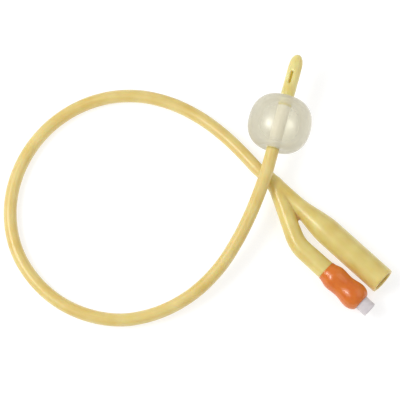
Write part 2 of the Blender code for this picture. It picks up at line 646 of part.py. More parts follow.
def make_shaft(funnel_axis, tip_axis):
    """The free tube, from the trunk to the tip section, along its route."""
    bpy.context.view_layer.update()
    trunk = funnel_axis.matrix_world.translation / MM
    back = Vector((-1.0, 0.0, 0.0))
    first = [trunk + back * CLEARANCE, trunk + back * (CLEARANCE + SHAFT_STRAIGHT)]
    heading = tip_axis.matrix_world.to_3x3() @ Vector((0.0, 0.0, 1.0))
    tip = tip_axis.matrix_world.translation / MM - heading * (BALLOON_HALF_LENGTH + TIP_TAIL + CLEARANCE)
    last = [tip - heading * SHAFT_STRAIGHT, tip]
    floor = SHAFT_RADIUS + SHAFT_LIFT
    corners = [tuple(p) for p in first] + list(SHAFT_ROUTE) + [tuple(p) for p in last]
    points = smooth_route(corners, SHAFT_POINT_SPACING)
    points[:, 2] = np.maximum(points[:, 2], floor)
    return tube("shaft_tube", points.tolist(), [SHAFT_RADIUS] * len(points), part, None, LATEX)


def shade(obj):
    """Smooth shading on round meshes, with their sharp edges kept."""
    if obj.type == "MESH":
        obj.data.shade_smooth()
        obj.data.set_sharp_from_angle(angle=math.radians(SHARP_ANGLE))


clear_scene()
part = collection("urinary_catheter")
cutters = collection("cutters")

funnel_axis = axis_empty("funnel_axis", (*FUNNEL_START, FUNNEL_RADIUS))
valve_place = (FUNNEL_START[0] + SLEEVE_START, FUNNEL_START[1] - ARM_OFFSET, FUNNEL_RADIUS + ARM_RISE)
valve_axis = axis_empty("valve_axis", valve_place)
plunger_axis = axis_empty("plunger_axis", valve_place)
tip_axis = axis_empty("tip_axis", (*BALLOON_CENTRE, BALLOON_RADIUS + BALLOON_LIFT), TIP_HEADING, TIP_RISE)

pieces = [
    make_funnel(funnel_axis),
    make_sleeve(valve_axis),
    make_valve_body(valve_axis),
    make_retainer(valve_axis),
    make_spring(valve_axis),
    make_plunger(plunger_axis),
    make_seal(plunger_axis),
    make_tip(tip_axis),
    make_balloon(tip_axis),
    make_shaft(funnel_axis, tip_axis),
]
for piece in pieces:
    shade(piece)
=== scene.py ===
"""Looks of a two-way urinary balloon catheter, 16 Fr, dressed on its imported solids.

Everything is in metres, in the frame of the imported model: +X points out of the drainage funnel, +Z up.
"""

import math

import bpy
import numpy as np
from mathutils import Matrix, Vector


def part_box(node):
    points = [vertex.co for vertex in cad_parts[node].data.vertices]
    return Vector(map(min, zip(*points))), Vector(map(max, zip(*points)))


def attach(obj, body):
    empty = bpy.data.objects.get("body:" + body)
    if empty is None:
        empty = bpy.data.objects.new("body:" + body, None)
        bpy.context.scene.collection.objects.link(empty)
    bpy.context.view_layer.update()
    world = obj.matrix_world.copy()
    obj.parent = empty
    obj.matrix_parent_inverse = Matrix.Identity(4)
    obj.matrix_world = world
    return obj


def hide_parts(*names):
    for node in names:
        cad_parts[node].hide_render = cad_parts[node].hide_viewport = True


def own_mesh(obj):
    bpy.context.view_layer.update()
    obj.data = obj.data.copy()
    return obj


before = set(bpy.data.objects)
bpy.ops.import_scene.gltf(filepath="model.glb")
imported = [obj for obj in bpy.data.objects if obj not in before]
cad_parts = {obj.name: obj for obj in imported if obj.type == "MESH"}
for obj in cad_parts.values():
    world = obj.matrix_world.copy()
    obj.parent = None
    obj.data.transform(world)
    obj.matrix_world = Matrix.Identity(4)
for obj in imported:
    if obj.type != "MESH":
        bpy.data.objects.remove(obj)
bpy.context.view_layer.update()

# Camera: high over the surface, on a long lens
VIEW_AZIMUTH = math.radians(43.32)
VIEW_ELEVATION = math.radians(75.0)
VIEW_DISTANCE = 0.6
VIEW_TARGET = Vector((-0.03527, -0.03924, 0.00267))
LENS_MM = 130.75
SENSOR_MM = 36.0

# Shaft, 16 Fr
SHAFT_RADIUS = 0.002665
SHAFT_SPACING = 0.0008
SHAFT_SIDES = 56
SHAFT_STRAIGHT = 0.004
SHAFT_INTO_TRUNK = 0.0006
SHAFT_OFF_TABLE = 0.000005
ROUTE_SAMPLES = 4000
SKIN_JOIN = -0.0110  # the free shaft's skin gives way to the tip section's here, under the balloon's cuff
SKIN_OVERLAP = 0.0002
SKIN_SINK = 0.00004  # how far the tip's skin dips under the free shaft's where they overlap

# Trunk, funnel and arm; places count from the trunk's start
FUNNEL_AXIS_HEIGHT = 0.00555
FUNNEL_LENGTH = 0.0659
FUNNEL_RADIUS = 0.00555
FUNNEL_BORE = 0.0044
FUNNEL_RIM_ROUND = 0.0004
FUNNEL_LIP_ROUND = 0.0004
MOUTH_SETBACK = 0.0010  # how far the top of the mouth is trimmed back from its bottom
TRUNK_START_RADIUS = 0.0030
TRUNK_RADIUS = 0.0033
TRUNK_CHAMFER = 0.0012
TRUNK_LENGTH = 0.0165
FLARE_LENGTH = 0.0200
DRAIN_LUMEN_RADIUS = 0.0014
BORE_FLARE_START = 0.0105
ARM_LEAVE = 0.0061
ARM_ANGLE = math.radians(27.7)
ARM_BEND_RADIUS = 0.016
ARM_SLANT_POINTS = 4
ARM_BEND_POINTS = 13
ARM_OFFSET = 0.0125
ARM_RISE = 0.00023
ARM_ROOT_RADIUS = 0.0032
ARM_RADIUS = 0.0041
ARM_END_RADIUS = 0.00384
ARM_END_OVERLAP = 0.004  # how far the even end that the sleeve grips runs back inside the arm
ARM_SOCKET_RADIUS = 0.0029
ARM_SOCKET_START = 0.04915
ARM_LINE_END = 0.0480
ARM_EDGE_ROUND = 0.0002
WEB_REACH = 0.0232
WEB_HALF_THICKNESS = 0.0010
FORK_BLEND = 0.0009  # how softly the arm flows into the trunk
WEB_BLEND = 0.0010
SHADED_POOL_START = 0.0085  # latex ran together in the crotch from here on, most from twice this place; the crease's painted shade starts with it
SHADED_POOL_DEPTH = 0.00035  # how thick it has to lie over the funnel and the arm to dry fully brown, and where the painted crease shade is full

# Lattices that the two mouldings are read on
MOULD_CELL = 0.00038
MOULD_END_ROOM = 0.0010
MOULD_ARM_ROOM = 0.0053
MOULD_SIDE_ROOM = 0.0065
TIP_CELL = 0.00019
TIP_ROOM_CELLS = 3
SLOPE_STEP = 0.1  # the share of a cell over which a field's slope is taken
SLIDES = 3  # how many times the points are slid on to the surface

# Orange sleeve and valve; places count from the sleeve's start
SLEEVE_START = 0.0456
SLEEVE_LENGTH = 0.0191
ARM_GRIP_LENGTH = 0.0120
SLEEVE_LIP_RADIUS = 0.00425
SLEEVE_LIP_ROUND = 0.00015
SLEEVE_LIP_POINTS = 8
SLEEVE_FIRST_BULGE = (0.0047, 0.00525)
SLEEVE_WAIST = (0.0094, 0.00495)
SLEEVE_SECOND_BULGE = (0.0150, 0.00568)
SLEEVE_SIDE_POINTS = 70
SLEEVE_NOSE_BASE = 0.0026
SLEEVE_NOSE_END = 0.00365
SLEEVE_NOSE_POINTS = 24
SLEEVE_NOSE_LAND = 0.00004
SLEEVE_NECK_GAP = 0.00008
NECK_CHAMFER = 0.0002
GRIP_CHAMFER = 0.00015
CHAMFER_DEPTH = 0.0003
VALVE_END = 0.02385
VALVE_RADIUS = 0.00315
VALVE_RIM_ROUND = 0.0005
VALVE_EDGE_ROUND = 0.0001
VALVE_FLANGE = (0.0123, 0.0143, 0.0040)  # start, end and radius
FLANGE_ROUND = 0.0002
LUER_MOUTH_RADIUS = 0.00215
LUER_MOUTH_ROUND = 0.0003
LUER_FLOOR_RADIUS = 0.00193
LUER_DEPTH = 0.0075
SEAT_THICKNESS = 0.0010
SEAT_HOLE_RADIUS = 0.0011
CHAMBER_RADIUS = 0.00175
CHAMBER_LENGTH = 0.0102
TAIL_RADIUS = 0.0023
BARB_HEIGHT = 0.0003
BARB_LENGTH = 0.0020
BARB_FOOT = 0.0003
BARB_FACE = 0.00001
BARB_ROUND = 0.00005
SPRING_RADIUS = 0.00115
SPRING_WIRE_RADIUS = 0.00014
SPRING_TURNS = 5
SPRING_TURN_STEPS = 40
WIRE_SIDES = 14
TURNED_SIDES = 96

# Balloon and tip; places count along the tip's axis from the balloon's middle
BALLOON_CENTRE = np.array((-0.0318, 0.0049, 0.01305))
TIP_HEADING = math.radians(117.9)
TIP_RISE = math.radians(3.5)
BALLOON_RADIUS = 0.0130
BALLOON_HALF_LENGTH = 0.0121
BALLOON_FULLNESS = 2.4
BALLOON_WALL = 0.00030
BULB_POINTS = 60
DIMPLE_DEPTH = 0.0012
DIMPLE_WIDTH = 0.0026
NECK_RADIUS = 0.00272
CUFF_LENGTH = 0.0040
CUFF_POINTS = 8
INNER_SKIN_START = 0.0003  # how far outside the cuff the inner skin starts
UNDIPPED_REACH = 0.0108  # the shaft inside the balloon never gets the last dip coats, so it stays pale
UNDIPPED_EDGE = 0.0004
DIP_COATS = 0.0004  # the honey-coloured outer coats; the latex under them, in the eyes and the bore, is pale
CEMENT_RING = (0.0082, 0.0006, 0.0003)  # place, half width and soft edge of the cement at the far cuff
HALF_DIPPED = 0.45  # past the cement the coats set in again
TIP_START = -0.0165
TIP_END = 0.0305
TIP_ROUND = 0.0056
TIP_FULLNESS = 2.15
TIP_RADIUS = 0.00284  # past the balloon, with its extra dip coats
TIP_BLIND = 0.0037
LUMEN_OFFSET = 0.00035
EYE_LENGTH = 0.0054
EYE_WIDTH = 0.0013
EYE_SQUARENESS = 4.0
EYE_PLACE = 0.0106
EYE_STAGGER = 0.0016
EYE_TURN = math.radians(15.0)
EYE_EDGE = 0.0004

# Real sizes of what the finishes show; a noise has one cell to each
DIP_DRIFT = 0.00769  # the dip's thickness drifts over 7 to 8 mm
DIP_RIPPLE = 0.00111  # its dried skin ripples over about 1 mm
STREAK_LENGTH = 0.025
STREAKS_ROUND = 14.0  # round the tube, so 1.2 mm wide each
STREAK_SHARE = 0.35
FILM_CLOUD = 0.0111  # the drift of the dip, stretched with the film
VINYL_FLOW = 0.00455
VINYL_ORANGE_PEEL = 0.000667
POLYPROPYLENE_CLOUD = 0.00286
SPARK_GRAIN = 0.00025  # really 0.05 mm, drawn coarser so that it shows
RUBBER_BLOOM = 0.0004  # really 0.05 mm, drawn coarser so that it shows
DIE_LINE = 0.000167  # really 0.02 mm, drawn coarser so that it shows

# The balloon's film
FILM_COVER = (0.07, 0.12)  # the share of it that scatters light square on, where it is clearest and cloudiest
FILM_SLANTS = (0.05, 0.45)  # the slants between which its cover rises
MILK_THROUGH = 0.93  # the share of scattered light that goes on through
GLOSS_POWER = 5.0  # how fast gloss rises with slant on a smooth clear face
FILM_SKINS = {  # each for the outer skin, then for the inner one
    "cover_at_slant": (0.46, 0.0),
    "gloss_square_on": (0.025, 0.1),
    "gloss_at_slant": (0.45, 0.08),
    "gloss_roughness": (0.26, 0.34),
}

# Studio
LAMP_DISTANCE = 0.7
KEY_SWING = math.radians(40.0)
KEY_LIFT = math.radians(11.0)
KEY_SIZE = (0.42, 0.66)
KEY_RADIANCE = 2.0
CORE_SIZE = (0.15, 0.27)
CORE_RADIANCE = 9.0
CORE_LEAD = 0.01  # the hot middle of the softbox is a lamp of its own, just in front of it
FILL_SWING = math.radians(40.0)
FILL_LIFT = math.radians(16.0)
FILL_SIZE = (0.5, 0.7)
FILL_RADIANCE = 0.65
ROOM_LIGHT = 0.5
TABLE_HALF = 1.5
TABLE_SHADE = 0.45
TABLE_GLOW = 0.65
TABLE_ROUGHNESS = 0.7

# Route of the free shaft's middle line, from the trunk's start to the tip section
SHAFT_ROUTE = (
    (-0.0327, -0.0132, 0.0052),
    (-0.0458, -0.0124, 0.0042),
    (-0.0595, -0.0134, 0.0033),
    (-0.0731, -0.0172, 0.0028),
    (-0.0844, -0.0236, 0.00267),
    (-0.0937, -0.0331, 0.00267),
    (-0.1004, -0.0463, 0.00267),
    (-0.1028, -0.0609, 0.00267),
    (-0.1009, -0.0752, 0.00267),
    (-0.0955, -0.0878, 0.00267),
    (-0.0864, -0.0988, 0.00267),
    (-0.0743, -0.1066, 0.00267),
    (-0.0610, -0.1100, 0.00267),
    (-0.0473, -0.1095, 0.00267),
    (-0.0348, -0.1052, 0.00275),
    (-0.0238, -0.0975, 0.0031),
    (-0.0146, -0.0845, 0.0041),
    (-0.0099, -0.0700, 0.0055),
    (-0.0092, -0.0560, 0.0072),
    (-0.0113, -0.0430, 0.009),
    (-0.0147, -0.0314, 0.0105),
    (-0.0189, -0.0206, 0.0115),
)
TRUNK_START = np.array((-0.0228, -0.0138, FUNNEL_AXIS_HEIGHT))
VALVE_START = TRUNK_START + np.array((SLEEVE_START, -ARM_OFFSET, ARM_RISE))
TIP_ALONG = np.array((math.cos(TIP_HEADING) * math.cos(TIP_RISE), math.sin(TIP_HEADING) * math.cos(TIP_RISE),
                      math.sin(TIP_RISE)))
ALONG_X = np.array((1.0, 0.0, 0.0))


def axis_frame(along):
    """Unit vectors (right, up) square to an axis: right is level, up leans as the axis does."""
    right = np.cross(along, (0.0, 0.0, 1.0))
    right = right / np.linalg.norm(right)
    return right, np.cross(right, along)


def local_places(points, origin, along):
    """Points as (along, right, up) of an axis."""
    right, up = axis_frame(along)
    away = points - origin
    return away @ along, away @ right, away @ up


def mesh_places(mesh, origin, along):
    """A mesh's points as (along, right, up) of an axis."""
    points = np.empty(3 * len(mesh.vertices))
    mesh.vertices.foreach_get("co", points)
    return local_places(points.reshape(-1, 3), origin, along)


def paint(mesh, **maps):
    """Stores maps from 0 to 1 on a mesh's points, for its material to read."""
    for name, value in maps.items():
        mesh.attributes.new(name, "FLOAT", "POINT").data.foreach_set("value", value)


def make_piece(name, mesh, body, solid):
    """Puts a mesh in the scene, on a body, in place of a solid."""
    piece = bpy.data.objects.new(name, mesh)
    bpy.context.scene.collection.objects.link(piece)
    mesh.shade_smooth()
    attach(piece, body)
    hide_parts(solid)
    return piece


def grid_mesh(name, points, closed_rows=False):
    """Quads over a grid of points (rows, columns, 3).

    The columns always close round. The rows close round too, or else end in flat caps. Where the closed
    volume comes out negative, the faces are turned to point outwards. The UV map has the distance along the
    middle of the rows in metres as U, and the share of a turn as V.
    """
    rows, columns = points.shape[:2]
    index = np.arange(rows * columns).reshape(rows, columns)
    if closed_rows:
        index = np.vstack((index, index[:1]))
    a, b = index[:-1], index[1:]
    quads = np.stack((a, b, np.roll(b, -1, axis=1), np.roll(a, -1, axis=1)), axis=-1).reshape(-1, 4)
    flat = points.reshape(-1, 3)
    p, q, r, t = flat[quads].transpose(1, 0, 2)
    if (p * (np.cross(q, r) + np.cross(r, t))).sum() < 0:
        quads = quads[:, ::-1]
        index = index[:, ::-1]
    faces = quads.tolist()
    if not closed_rows:
        faces += [index[0].tolist(), index[-1][::-1].tolist()]
    mesh = bpy.data.meshes.new(name)
    mesh.from_pydata(flat.tolist(), [], faces)
    middle = points.mean(axis=1)
    along = np.concatenate(([0.0], np.cumsum(np.linalg.norm(np.diff(middle, axis=0), axis=1))))
    loop_verts = np.empty(len(mesh.loops), int)
    mesh.loops.foreach_get("vertex_index", loop_verts)
    turn = (loop_verts % columns) / columns
    by_quad = turn[:quads.size].reshape(-1, 4)
    wraps = np.ptp(by_quad, axis=1) > 0.5
    by_quad[wraps[:, None] & (by_quad < 0.5)] += 1.0
    uv = np.stack((along[loop_verts // columns], turn), axis=1)
    mesh.uv_layers.new(name="along_and_round").data.foreach_set("uv", uv.ravel())
    mesh.update()
    return mesh


def turned_mesh(name, profile, origin, along):
    """A turned ring: a closed profile of (radius, place along the axis) swept through a full turn."""
    right, up = axis_frame(along)
    turn = np.linspace(0.0, 2 * math.pi, TURNED_SIDES, endpoint=False)
    spoke = np.cos(turn)[:, None] * up + np.sin(turn)[:, None] * right
    points = origin + profile[:, 1, None, None] * along + profile[:, 0, None, None] * spoke
    return grid_mesh(name, points, closed_rows=True)


def rounded(corners, steps=5, most=0.45):
    """A closed outline with each corner (radius, place, rounding) cut by a smooth arc.

    The arc is the quadratic curve from one rounding before the corner to one after it, which on a short side
    is most of the way to its middle.
    """
    corners = np.array(corners, float)
    share = np.linspace(0.0, 1.0, steps)[:, None]
    outline = []
    for i, (x, y, size) in enumerate(corners):
        here = np.array((x, y))
        before = corners[i - 1, :2] - here
        after = corners[(i + 1) % len(corners), :2] - here
        reach = min(size, most * np.linalg.norm(before), most * np.linalg.norm(after))
        start = here + before / np.linalg.norm(before) * reach
        end = here + after / np.linalg.norm(after) * reach
        outline.append((1 - share) ** 2 * start + 2 * share * (1 - share) * here + share**2 * end)
    return np.concatenate(outline)


def eased(stations, at):
    """Radius at places, eased with a half cosine between (place, radius) stations."""
    places, radii = np.array(stations).T
    nearest = np.clip(np.searchsorted(places, at) - 1, 0, len(places) - 2)
    share = np.clip((at - places[nearest]) / (places[nearest + 1] - places[nearest]), 0.0, 1.0)
    return radii[nearest] + (radii[nearest + 1] - radii[nearest]) * (1 - np.cos(math.pi * share)) / 2


def smooth_route(corners, spacing):
    """Points a spacing apart along a smooth curve through the corners.

    Each span is a cubic with its slopes taken from the neighbouring corners, and the finely sampled curve is
    then read off at equal lengths.
    """
    knots = np.concatenate(([0.0], np.cumsum(np.linalg.norm(np.diff(corners, axis=0), axis=1))))
    slopes = np.gradient(corners, knots, axis=0, edge_order=2)
    slopes[0] = (corners[1] - corners[0]) / (knots[1] - knots[0])
    slopes[-1] = (corners[-1] - corners[-2]) / (knots[-1] - knots[-2])
    fine_at = np.linspace(0.0, knots[-1], ROUTE_SAMPLES)
    i = np.clip(np.searchsorted(knots, fine_at, side="right") - 1, 0, len(knots) - 2)
    span = (knots[i + 1] - knots[i])[:, None]
    t = (fine_at - knots[i])[:, None] / span
    fine = ((2 * t**3 - 3 * t**2 + 1) * corners[i] + (t**3 - 2 * t**2 + t) * span * slopes[i]
            + (3 * t**2 - 2 * t**3) * corners[i + 1] + (t**3 - t**2) * span * slopes[i + 1])
    run = np.concatenate(([0.0], np.cumsum(np.linalg.norm(np.diff(fine, axis=0), axis=1))))
    stations = np.linspace(0.0, run[-1], round(run[-1] / spacing) + 1)
    return np.stack([np.interp(stations, run, fine[:, k]) for k in range(3)], axis=1)


def blended(first, second, softness):
    """The nearer of two distances, rounded over a softness where they are alike, so two shapes flow together.

    The share of the first runs evenly from 0 to 1 over the softness, and the mix of the two by their shares
    is lowered by the softness times both shares.
    """
    share = np.clip(0.5 + 0.5 * (second - first) / softness, 0.0, 1.0)
    return second * (1 - share) + first * share - softness * share * (1 - share)


def cut(solid, hole, softness):
    """Distance to a solid less a hole, with the edge between them rounded over a softness."""
    return -blended(-solid, hole, softness)


def moulded_mesh(name, field, low, high, cell):
    """The closed surface where a distance field is zero, for a one-piece moulding whose limbs branch.

    The field is read on a cubic lattice. Each cell that the surface passes through gets one vertex, at the
    mean of the places where its edges cross zero. Each lattice edge that crosses zero gets a quad of the four
    cells round it. The vertices are then slid down the field's slope on to the true surface.
    """
    counts = np.ceil((high - low) / cell).astype(int) + 1
    lines = [low[k] + cell * np.arange(counts[k]) for k in range(3)]
    lattice = np.stack(np.meshgrid(*lines, indexing="ij"), axis=-1)
    value = field(lattice.reshape(-1, 3)).reshape(counts)
    inside = value < 0
    total = np.zeros((*(counts - 1), 3))
    crossings = np.zeros(counts - 1)
    quads = []
    cell_index = np.arange(np.prod(counts - 1)).reshape(counts - 1)
    for k in range(3):
        # crossings of the lattice edges that run along axis k
        first = [slice(None)] * 3
        second = [slice(None)] * 3
        first[k], second[k] = slice(None, -1), slice(1, None)
        first, second = tuple(first), tuple(second)
        crossed = inside[first] != inside[second]
        with np.errstate(divide="ignore", invalid="ignore"):
            share = np.where(crossed, value[first] / (value[first] - value[second]), 0.0)
        place = lattice[first].copy()
        place[..., k] += share * cell
        m, n = (k + 1) % 3, (k + 2) % 3
        for dm in (0, 1):
            for dn in (0, 1):
                part_of = [slice(None)] * 3
                part_of[m] = slice(dm, counts[m] - 1 + dm)
                part_of[n] = slice(dn, counts[n] - 1 + dn)
                part_of = tuple(part_of)
                crossings += crossed[part_of]
                total += place[part_of] * crossed[part_of][..., None]
        # a quad of the four cells round each crossing, turned outwards
        inner = [slice(None)] * 3
        inner[m], inner[n] = slice(1, -1), slice(1, -1)
        edge = np.argwhere(crossed[tuple(inner)])
        edge[:, m] += 1
        edge[:, n] += 1
        around = []
        for dm, dn in ((0, 0), (-1, 0), (-1, -1), (0, -1)):
            neighbour = edge.copy()
            neighbour[:, m] += dm
            neighbour[:, n] += dn
            around.append(cell_index[tuple(neighbour.T)])
        quad = np.stack(around, axis=1)
        flip = ~inside[tuple(edge.T)]
        quad[flip] = quad[flip][:, ::-1]
        quads.append(quad)
    used = crossings > 0
    number = np.full(used.size, -1)
    number[used.ravel()] = np.arange(used.sum())
    points = total[used] / crossings[used][:, None]
    step = cell * SLOPE_STEP
    for _ in range(SLIDES):
        slope = np.stack([field(points + step * axis) - field(points - step * axis) for axis in np.eye(3)],
                         axis=1)
        slope /= 2 * step
        points -= np.clip(field(points), -cell, cell)[:, None] * slope / (slope**2).sum(axis=1, keepdims=True)
    mesh = bpy.data.meshes.new(name)
    mesh.from_pydata(points.tolist(), [], number[np.concatenate(quads)].tolist())
    mesh.update()
    return mesh


def limb(points, centre_line, radii):
    """Distance from points to a round limb: a chain of straight spans, each with its radius run evenly."""
    best = np.full(len(points), np.inf)
    for start, end, r0, r1 in zip(centre_line, centre_line[1:], radii, radii[1:]):
        span = end - start
        share = np.clip((points - start) @ span / (span @ span), 0.0, 1.0)
        away = np.linalg.norm(points - start - share[:, None] * span, axis=1)
        best = np.minimum(best, away - (r0 + (r1 - r0) * share))
    return best


def make_shaft():
    """The free tube: a circle carried along the smooth route, its rings square to the route."""
    corners = np.vstack((
        TRUNK_START + ALONG_X * SHAFT_INTO_TRUNK,
        TRUNK_START - ALONG_X * SHAFT_STRAIGHT,
        np.array(SHAFT_ROUTE),
        BALLOON_CENTRE + TIP_ALONG * (TIP_START - SHAFT_STRAIGHT),
        BALLOON_CENTRE + TIP_ALONG * TIP_START,
        BALLOON_CENTRE + TIP_ALONG * SKIN_JOIN,
    ))
    middle = smooth_route(corners, SHAFT_SPACING)
    middle[:, 2] = np.maximum(middle[:, 2], SHAFT_RADIUS + SHAFT_OFF_TABLE)
    along = np.gradient(middle, axis=0)
    along /= np.linalg.norm(along, axis=1, keepdims=True)
    side = np.cross(along, (0.0, 0.0, 1.0))
    side /= np.linalg.norm(side, axis=1, keepdims=True)
    top = np.cross(side, along)
    turn = np.linspace(0.0, 2 * math.pi, SHAFT_SIDES, endpoint=False)[None, :, None]
    rings = middle[:, None] + SHAFT_RADIUS * (np.cos(turn) * top[:, None] + np.sin(turn) * side[:, None])
    shaft = make_piece("shaft", grid_mesh("shaft", rings), "catheter", "shaft_tube")
    return shaft


def arm_line():
    """Middle line of the inflation arm as (along, side, rise): a slant, an arc and a straight run."""
    corner = ARM_LEAVE + ARM_OFFSET / math.tan(ARM_ANGLE)
    tangent = ARM_BEND_RADIUS * math.tan(ARM_ANGLE / 2)
    slant = np.linspace(ARM_LEAVE, corner - tangent * math.cos(ARM_ANGLE), ARM_SLANT_POINTS)[:-1]
    turn = ARM_ANGLE * (1 - np.linspace(0.0, 1.0, ARM_BEND_POINTS))
    places = np.concatenate((slant, corner + tangent - ARM_BEND_RADIUS * np.sin(turn), [ARM_LINE_END]))
    sides = np.concatenate(((slant - ARM_LEAVE) * math.tan(ARM_ANGLE),
                            ARM_OFFSET - ARM_BEND_RADIUS * (1 - np.cos(turn)), [ARM_OFFSET]))
    return np.stack((places, sides, ARM_RISE * sides / ARM_OFFSET), axis=1)


def y_end_limbs(place, side, up):
    """Distances to the Y end's three forms: the funnel with its trunk, the arm, and the web.

    The funnel is a circle of eased radius, cut square at the trunk's start and askew at its mouth. The arm is
    a round limb that widens on its way and steps down to an even end, which the sleeve grips. The web is a
    thin flat plate from the funnel's axis out to the arm's slant.
    """
    outside = ((0.0, TRUNK_START_RADIUS), (TRUNK_CHAMFER, TRUNK_RADIUS), (TRUNK_LENGTH, TRUNK_RADIUS),
               (TRUNK_LENGTH + FLARE_LENGTH, FUNNEL_RADIUS), (FUNNEL_LENGTH, FUNNEL_RADIUS))
    ends = np.maximum(-place, place - FUNNEL_LENGTH + MOUTH_SETBACK * (0.5 + 0.5 * up / FUNNEL_RADIUS))
    funnel = cut(np.hypot(side, up) - eased(outside, place), -ends, FUNNEL_RIM_ROUND)
    line = arm_line()
    radii = eased(((ARM_LEAVE, ARM_ROOT_RADIUS), (SLEEVE_START, ARM_RADIUS)), line[:, 0])
    arm = limb(np.stack((place, side, up), axis=1), line, radii)
    grip_end = SLEEVE_START + ARM_GRIP_LENGTH
    arm_end = np.maximum(np.hypot(side - ARM_OFFSET, up - ARM_RISE) - ARM_END_RADIUS,
                         np.maximum(place - grip_end, SLEEVE_START - ARM_END_OVERLAP - place))
    arm = np.minimum(cut(arm, SLEEVE_START - place, ARM_EDGE_ROUND), arm_end)
    slant = (place - ARM_LEAVE) * math.tan(ARM_ANGLE)
    web = np.maximum(np.abs(up - ARM_RISE / 2) - WEB_HALF_THICKNESS, place - WEB_REACH)
    web = np.maximum(web, np.maximum(-side, (side - slant) * math.cos(ARM_ANGLE)))
    return funnel, arm, web


def y_end_field(points):
    """Distance to the Y end: its three forms flow together, and the bore and the arm's socket are cut out.

    The bore is a circle of eased radius and the socket a straight round hole, both with soft edges.
    """
    place, side, up = local_places(points, TRUNK_START, ALONG_X)
    funnel, arm, web = y_end_limbs(place, side, up)
    solid = blended(blended(funnel, arm, FORK_BLEND), web, WEB_BLEND)
    bore = ((0.0, DRAIN_LUMEN_RADIUS), (BORE_FLARE_START, DRAIN_LUMEN_RADIUS),
            (TRUNK_LENGTH + FLARE_LENGTH, FUNNEL_BORE), (FUNNEL_LENGTH, FUNNEL_BORE))
    solid = cut(solid, np.hypot(side, up) - eased(bore, place), FUNNEL_LIP_ROUND)
    socket = np.maximum(np.hypot(side - ARM_OFFSET, up - ARM_RISE) - ARM_SOCKET_RADIUS,
                        ARM_SOCKET_START - place)
    return cut(solid, socket, ARM_EDGE_ROUND)


def make_y_end():
    """Trunk, drainage funnel and inflation arm, one latex moulding, with a map of where latex pooled in the
    crotch and where shade is painted into the crease.

    The map is where the surface stands off both the funnel and the arm: the smaller of the two distances over
    the map's depth, brought in gradually past its start.
    """
    low = TRUNK_START + np.array((-MOULD_END_ROOM, -ARM_OFFSET - MOULD_ARM_ROOM, -MOULD_SIDE_ROOM))
    high = TRUNK_START + np.array((FUNNEL_LENGTH + MOULD_END_ROOM, MOULD_SIDE_ROOM, MOULD_SIDE_ROOM))
    mesh = moulded_mesh("y_end", y_end_field, low, high, MOULD_CELL)
    place, side, up = mesh_places(mesh, TRUNK_START, ALONG_X)
    funnel, arm, _ = y_end_limbs(place, side, up)
    # a map for the brown of pooled latex in the crotch, which also paints shade into the crease
    depth = np.clip(np.minimum(funnel, arm) / SHADED_POOL_DEPTH, 0.0, 1.0)
    paint(mesh, pooled=depth * np.clip(place / SHADED_POOL_START - 1.0, 0.0, 1.0))
    return make_piece("y_end", mesh, "catheter", "y_funnel")


def tip_field(points):
    """Distance to the tip section: a round rod with an oval nose, less its lumen and its two eyes.

    The lumen is a round hole with a ball end. Each eye is a squared oval, cut straight through to the middle.
    """
    place, side, up = local_places(points, BALLOON_CENTRE, TIP_ALONG)
    nose = np.maximum(place - (TIP_END - TIP_ROUND), 0.0)
    stations = ((SKIN_JOIN, SHAFT_RADIUS - SKIN_SINK), (0.0, SHAFT_RADIUS), (BALLOON_HALF_LENGTH, TIP_RADIUS))
    radius = eased(stations, place)
    oval = (np.hypot(side, up) / radius) ** TIP_FULLNESS + (nose / TIP_ROUND) ** TIP_FULLNESS
    solid = (oval ** (1 / TIP_FULLNESS) - 1) * radius
    solid = np.maximum(solid, SKIN_JOIN - SKIN_OVERLAP - place)
    blind = np.maximum(place - (TIP_END - TIP_BLIND - DRAIN_LUMEN_RADIUS), 0.0)
    lumen = np.sqrt((side + LUMEN_OFFSET) ** 2 + up**2 + blind**2) - DRAIN_LUMEN_RADIUS
    solid = np.maximum(solid, -lumen)
    upper = TIP_END - EYE_PLACE
    for turn, eye in ((EYE_TURN, upper), (EYE_TURN + math.pi, upper + EYE_STAGGER)):
        out = math.cos(turn) * up - math.sin(turn) * side
        across = math.sin(turn) * up + math.cos(turn) * side
        sides = np.abs(np.stack((across / EYE_WIDTH, (place - eye) / EYE_LENGTH)) * 2) ** EYE_SQUARENESS
        slot = (sides.sum(axis=0) ** (1 / EYE_SQUARENESS) - 1) * EYE_WIDTH / 2
        solid = cut(solid, np.maximum(slot, -out), EYE_EDGE)
    return solid


def make_tip():
    """Distal end of the shaft, with a map of where it is bare and one of its bore and eyes.

    It is bare inside the balloon, where the last dip coats don't reach, apart from the ring of cement, and
    half bare past the ring. The bore and the eyes are what lies deeper than the coats.
    """
    ends = BALLOON_CENTRE + TIP_ALONG * np.array([[SKIN_JOIN - SKIN_OVERLAP], [TIP_END]])
    room = SHAFT_RADIUS + TIP_ROOM_CELLS * TIP_CELL
    mesh = moulded_mesh("tip_section", tip_field, ends.min(axis=0) - room, ends.max(axis=0) + room, TIP_CELL)
    place, side, up = mesh_places(mesh, BALLOON_CENTRE, TIP_ALONG)
    bare = np.clip((UNDIPPED_REACH - np.abs(place)) / UNDIPPED_EDGE, 0.0, 1.0)
    ring, ring_half, ring_edge = CEMENT_RING
    bare *= np.clip((np.abs(place - ring) - ring_half) / ring_edge, 0.0, 1.0)
    bare *= np.where(place > ring, HALF_DIPPED, 1.0)
    deep = np.clip((SHAFT_RADIUS - np.hypot(side, up)) / DIP_COATS - 1.0, 0.0, 1.0)
    paint(mesh, undipped=bare, bore=deep * (place < TIP_END - TIP_BLIND))
    return make_piece("tip_section", mesh, "catheter", "drainage_tip")


def bulb_height(radius):
    """Half length of the balloon at a radius: a full oval, less a bell-shaped dimple round the neck."""
    share = np.clip(radius / BALLOON_RADIUS, 0.0, 1.0)
    full = BALLOON_HALF_LENGTH * (1 - share**BALLOON_FULLNESS) ** (1 / BALLOON_FULLNESS)
    return full - DIMPLE_DEPTH * np.exp(-((radius - NECK_RADIUS) / DIMPLE_WIDTH) ** 2)


